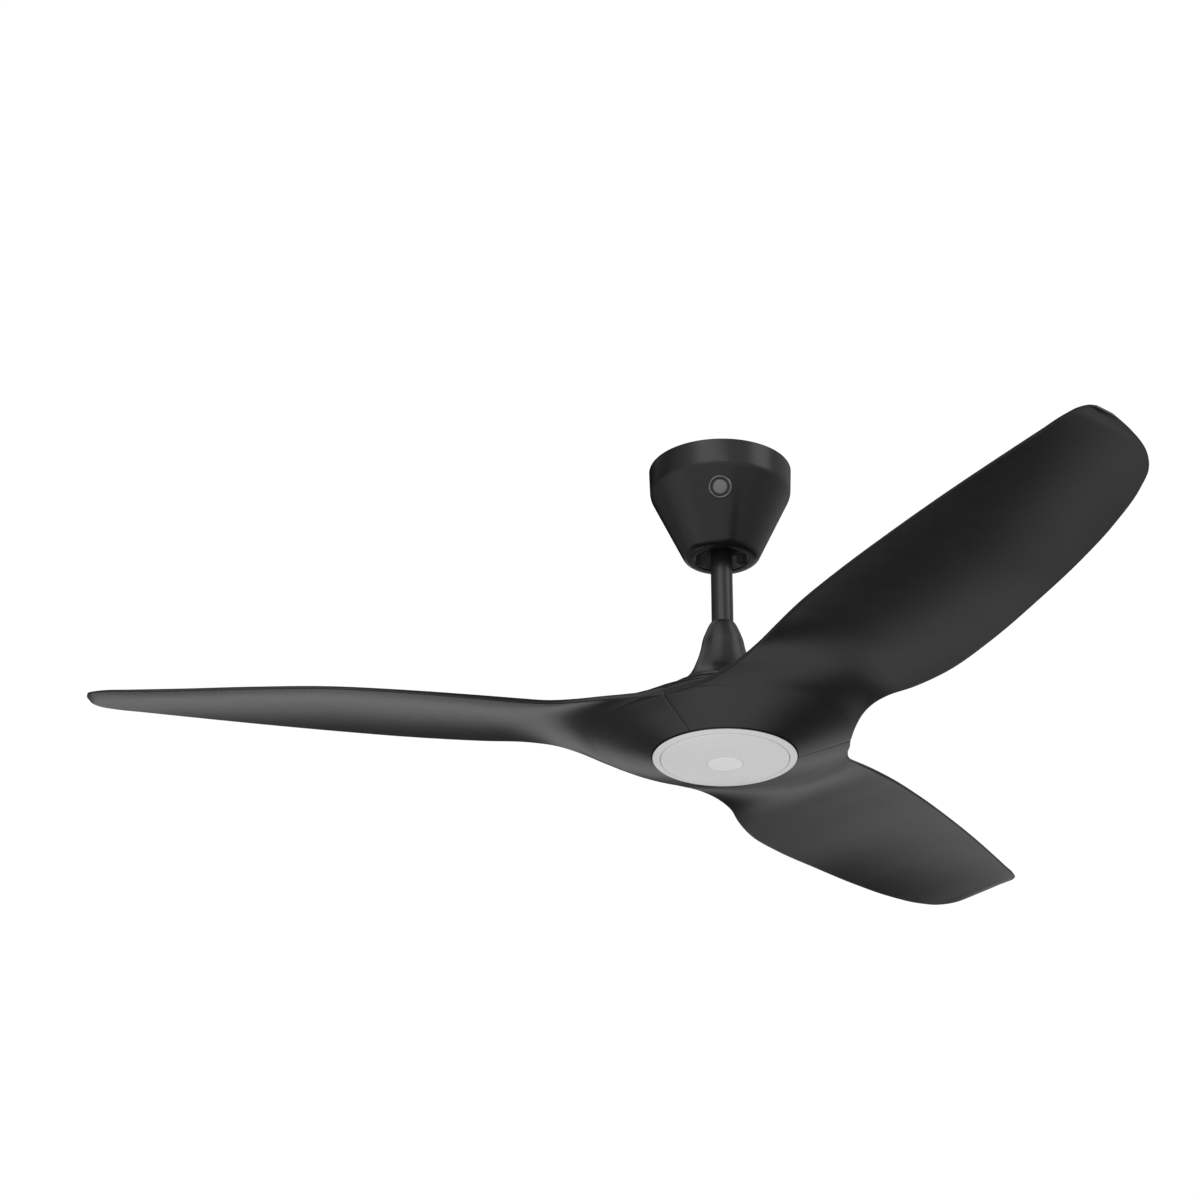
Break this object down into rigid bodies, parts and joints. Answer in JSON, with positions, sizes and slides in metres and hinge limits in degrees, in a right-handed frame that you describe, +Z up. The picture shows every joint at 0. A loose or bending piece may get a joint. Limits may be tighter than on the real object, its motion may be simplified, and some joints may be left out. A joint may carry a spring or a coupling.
{
  "type": "ceiling fan with light",
  "caption": "Matte black ceiling fan with twisted airfoils merging into one smooth hub, a round lens light below it, a short downrod and a cone canopy.",
  "frame": {"origin": "centre of the ceiling bracket's top face, on the fan's axis, in the plane of the ceiling", "axes": "+Z up along the downrod and the motor shaft; +X along the ceiling bracket's bar; the airfoils stand 62.8, 182.8 and 302.8 degrees from +X, counted anticlockwise from above"},
  "size_m": [1.0354, 1.1617, 0.3385],
  "materials": {
    "black_paint": "matte black powder coat",
    "black_screw": "black",
    "black_cover": "matte black moulded cover",
    "airfoil_black": "matte black glass-filled polymer",
    "badge_metal": "brushed, plain",
    "zinc_steel": "zinc plated",
    "bright_steel": "turned",
    "bearing_steel": "ground",
    "cast_alloy": "die cast",
    "nylon": "natural nylon",
    "lamination_steel": "stacked sheets",
    "copper_wire": "enamelled copper",
    "magnet": "sintered ferrite",
    "board_green": "solder mask",
    "board_white": "white solder mask on an aluminium board",
    "lead_sleeve": "black sleeve",
    "ring_white": "satin white",
    "lens_white": "opal diffuser",
    "window_white": "opal"
  },
  "bodies": {
    "ceiling_side": {"ceiling_bracket": "black_paint", "canopy": "black_paint", "canopy_badge": "badge_metal", "canopy_screw_1": "black_screw", "canopy_screw_2": "black_screw"},
    "liner": {"ball_liner": "nylon"},
    "hanging_frame": {"hanger_ball": "cast_alloy", "ball_pin": "bright_steel", "downrod": "black_paint", "motor_leads": "lead_sleeve", "rod_coupler": "cast_alloy", "clevis_pin": "bright_steel", "hairpin_clip": "zinc_steel", "rod_set_screw": "bright_steel", "bell_cover": "black_cover", "motor_cover": "black_cover", "motor_shaft": "bright_steel", "shaft_nut": "zinc_steel", "stator_core": "lamination_steel", "stator_windings": "copper_wire", "upper_bearing_inner_ring": "bearing_steel", "lower_bearing_inner_ring": "bearing_steel", "light_plate": "cast_alloy", "led_board": "board_white", "led_board_screw_1": "zinc_steel", "led_board_screw_2": "zinc_steel", "led_board_screw_3": "zinc_steel", "light_ring": "ring_white", "light_lens": "lens_white", "centre_window": "window_white", "controller_board": "board_green"},
    "rotor": {"rotor_base": "cast_alloy", "rotor_lid": "cast_alloy", "magnet_ring": "magnet", "upper_bearing_outer_ring": "bearing_steel", "lower_bearing_outer_ring": "bearing_steel", "airfoil_1": "airfoil_black", "airfoil_2": "airfoil_black", "airfoil_3": "airfoil_black", "airfoil_screw_1": "zinc_steel", "airfoil_screw_2": "zinc_steel", "airfoil_screw_3": "zinc_steel", "airfoil_screw_4": "zinc_steel", "airfoil_screw_5": "zinc_steel", "airfoil_screw_6": "zinc_steel"},
    "upper_cage": {"upper_bearing_balls": "bearing_steel"},
    "lower_cage": {"lower_bearing_balls": "bearing_steel"}
  },
  "joints": [
    {"name": "liner_tilt", "type": "hinge", "parent": "ceiling_side", "child": "liner", "pos_m": [0, 0, -0.062], "axis": [1, 0, 0], "range_deg": [-15, 15]},
    {"name": "rod_tilt", "type": "hinge", "parent": "liner", "child": "hanging_frame", "pos_m": [0, 0, -0.062], "axis": [0, 1, 0], "range_deg": [-15, 15]},
    {"name": "fan_spin", "type": "hinge", "parent": "hanging_frame", "child": "rotor", "pos_m": [0, 0, -0.3], "axis": [0, 0, 1], "continuous": true},
    {"name": "upper_cage_spin", "type": "hinge", "parent": "hanging_frame", "child": "upper_cage", "pos_m": [0, 0, -0.283], "axis": [0, 0, 1], "continuous": true},
    {"name": "lower_cage_spin", "type": "hinge", "parent": "hanging_frame", "child": "lower_cage", "pos_m": [0, 0, -0.3085], "axis": [0, 0, 1], "continuous": true}
  ],
  "couplings": [
    {"joint": "upper_cage_spin", "follows": "fan_spin", "ratio": 0.5685},
    {"joint": "lower_cage_spin", "follows": "fan_spin", "ratio": 0.5685}
  ]
}
